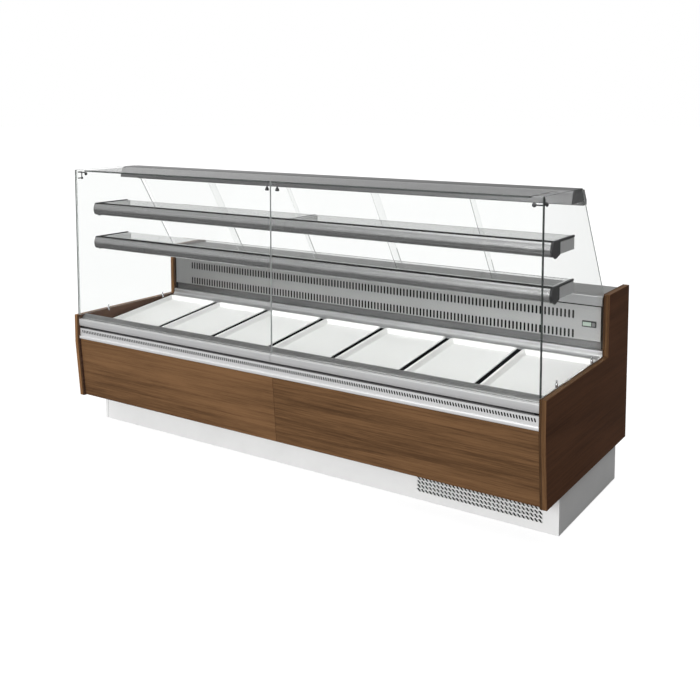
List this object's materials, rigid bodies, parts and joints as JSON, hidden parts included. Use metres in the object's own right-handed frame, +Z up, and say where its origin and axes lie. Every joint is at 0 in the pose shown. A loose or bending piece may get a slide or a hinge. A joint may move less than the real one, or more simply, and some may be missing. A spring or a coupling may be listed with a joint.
{
  "type": "refrigerated display counter",
  "caption": "Serve-over refrigerated display counter: walnut body, white plinth, glass case with two shelves, sloped deck of white trays, sliding rear doors and a cold store.",
  "frame": {"origin": "centre of the footprint on the floor", "axes": "+X along the counter to the customer's right, +Y to the serving side, +Z up"},
  "size_m": [2.5, 0.95, 1.308],
  "materials": {
    "walnut": "satin lacquered walnut, grain along the counter",
    "dark_walnut": "satin dark walnut with banded edges",
    "satin_aluminium": "satin anodised extrusion",
    "stainless": "brushed stainless steel",
    "white_paint": "white powder coat",
    "white_panel": "white skinned foam panel",
    "grey_paint": "grey powder coat",
    "galvanised": "galvanised sheet",
    "clear_glass": "clear tempered glass, polished edges",
    "white_tray": "white glossy tray",
    "black_plastic": "black moulded plastic",
    "opal_plastic": "opal light cover",
    "black_steel": "black enamel",
    "foam_liner": "light grey liner over foam"
  },
  "bodies": {
    "cabinet": {"front_panel_left": "walnut", "front_panel_right": "walnut", "side_panel_left": "dark_walnut", "side_panel_right": "dark_walnut", "front_rail": "satin_aluminium", "vent_profile": "satin_aluminium", "return_air_grille": "satin_aluminium", "rear_ledge": "satin_aluminium", "evaporator_coil": "satin_aluminium", "door_track_lower": "satin_aluminium", "door_track_upper": "satin_aluminium", "canopy_beam": "satin_aluminium", "shelf_beam_upper": "satin_aluminium", "shelf_beam_lower": "satin_aluminium", "duct_panel": "stainless", "worktop": "stainless", "plinth": "white_paint", "machine_cover": "white_paint", "rear_frame": "white_panel", "control_panel": "grey_paint", "base_frame": "galvanised", "fan_plate": "galvanised", "end_glass_left": "clear_glass", "end_glass_right": "clear_glass", "top_glass": "clear_glass", "shelf_glass_upper": "clear_glass", "shelf_glass_lower": "clear_glass", "thermometer": "black_plastic", "shelf_end_upper_left": "black_plastic", "shelf_end_upper_right": "black_plastic", "shelf_end_lower_left": "black_plastic", "shelf_end_lower_right": "black_plastic", "light_diffuser": "opal_plastic", "compressor": "black_steel", "condenser_coil": "black_steel", "fan_shroud": "black_steel", "insulated_tub": "foam_liner", "reserve_liner": "foam_liner", "machine_bulkhead": "foam_liner"},
    "front_pane_left": {"front_glass_left": "clear_glass"},
    "front_pane_right": {"front_glass_right": "clear_glass"},
    "tray_body_1": {"tray_1": "white_tray"},
    "tray_body_2": {"tray_2": "white_tray"},
    "tray_body_3": {"tray_3": "white_tray"},
    "tray_body_4": {"tray_4": "white_tray"},
    "tray_body_5": {"tray_5": "white_tray"},
    "tray_body_6": {"tray_6": "white_tray"},
    "tray_body_7": {"tray_7": "white_tray"},
    "sliding_door_1": {"rear_door_1": "clear_glass"},
    "sliding_door_2": {"rear_door_2": "clear_glass"},
    "sliding_door_3": {"rear_door_3": "clear_glass"},
    "sliding_door_4": {"rear_door_4": "clear_glass"},
    "sliding_door_5": {"rear_door_5": "clear_glass"},
    "evaporator_rotor_1": {"evaporator_fan_1": "black_plastic"},
    "evaporator_rotor_2": {"evaporator_fan_2": "black_plastic"},
    "condenser_rotor": {"condenser_fan": "black_plastic"},
    "reserve_leaf_1": {"reserve_door_1": "white_panel"},
    "reserve_leaf_2": {"reserve_door_2": "white_panel"},
    "light_rocker": {"light_switch": "black_plastic"},
    "thermostat_key": {"thermostat_button": "black_plastic"}
  },
  "joints": [
    {"name": "front_glass_left_tilt", "type": "hinge", "parent": "cabinet", "child": "front_pane_left", "pos_m": [-0.61, -0.467, 0.5665], "axis": [1, 0, 0], "range_deg": [0, 70]},
    {"name": "front_glass_right_tilt", "type": "hinge", "parent": "cabinet", "child": "front_pane_right", "pos_m": [0.61, -0.467, 0.5665], "axis": [1, 0, 0], "range_deg": [0, 70]},
    {"name": "tray_1_lift", "type": "slide", "parent": "cabinet", "child": "tray_body_1", "axis": [0, 0, 1], "range_m": [0, 0.15]},
    {"name": "tray_2_lift", "type": "slide", "parent": "cabinet", "child": "tray_body_2", "axis": [0, 0, 1], "range_m": [0, 0.15]},
    {"name": "tray_3_lift", "type": "slide", "parent": "cabinet", "child": "tray_body_3", "axis": [0, 0, 1], "range_m": [0, 0.15]},
    {"name": "tray_4_lift", "type": "slide", "parent": "cabinet", "child": "tray_body_4", "axis": [0, 0, 1], "range_m": [0, 0.15]},
    {"name": "tray_5_lift", "type": "slide", "parent": "cabinet", "child": "tray_body_5", "axis": [0, 0, 1], "range_m": [0, 0.15]},
    {"name": "tray_6_lift", "type": "slide", "parent": "cabinet", "child": "tray_body_6", "axis": [0, 0, 1], "range_m": [0, 0.15]},
    {"name": "tray_7_lift", "type": "slide", "parent": "cabinet", "child": "tray_body_7", "axis": [0, 0, 1], "range_m": [0, 0.15]},
    {"name": "rear_door_1_slide", "type": "slide", "parent": "cabinet", "child": "sliding_door_1", "axis": [1, 0, 0], "range_m": [0, 0.45]},
    {"name": "rear_door_2_slide", "type": "slide", "parent": "cabinet", "child": "sliding_door_2", "axis": [1, 0, 0], "range_m": [-0.45, 0.45]},
    {"name": "rear_door_3_slide", "type": "slide", "parent": "cabinet", "child": "sliding_door_3", "axis": [1, 0, 0], "range_m": [-0.45, 0.45]},
    {"name": "rear_door_4_slide", "type": "slide", "parent": "cabinet", "child": "sliding_door_4", "axis": [1, 0, 0], "range_m": [-0.45, 0.45]},
    {"name": "rear_door_5_slide", "type": "slide", "parent": "cabinet", "child": "sliding_door_5", "axis": [1, 0, 0], "range_m": [-0.45, 0]},
    {"name": "evaporator_fan_1_spin", "type": "hinge", "parent": "cabinet", "child": "evaporator_rotor_1", "pos_m": [-0.55, -0.197, 0.455], "axis": [0, 1, 0], "continuous": true},
    {"name": "evaporator_fan_2_spin", "type": "hinge", "parent": "cabinet", "child": "evaporator_rotor_2", "pos_m": [0.55, -0.197, 0.455], "axis": [0, 1, 0], "continuous": true},
    {"name": "condenser_fan_spin", "type": "hinge", "parent": "cabinet", "child": "condenser_rotor", "pos_m": [0.88, -0.157, 0.168], "axis": [0, 1, 0], "continuous": true},
    {"name": "reserve_door_1_swing", "type": "hinge", "parent": "cabinet", "child": "reserve_leaf_1", "pos_m": [-1.2015, 0.462, 0.3975], "axis": [0, 0, 1], "range_deg": [0, 100]},
    {"name": "reserve_door_2_swing", "type": "hinge", "parent": "cabinet", "child": "reserve_leaf_2", "pos_m": [-0.4365, 0.462, 0.3975], "axis": [0, 0, 1], "range_deg": [0, 100]},
    {"name": "light_switch_rock", "type": "hinge", "parent": "cabinet", "child": "light_rocker", "pos_m": [0.67, 0.4485, 0.71], "axis": [-1, 0, 0], "range_deg": [0, 18]},
    {"name": "thermostat_button_press", "type": "slide", "parent": "cabinet", "child": "thermostat_key", "axis": [0, -1, 0], "range_m": [0, 0.0018], "stiffness_N_per_m": 300, "springref_m": -0.001}
  ]
}
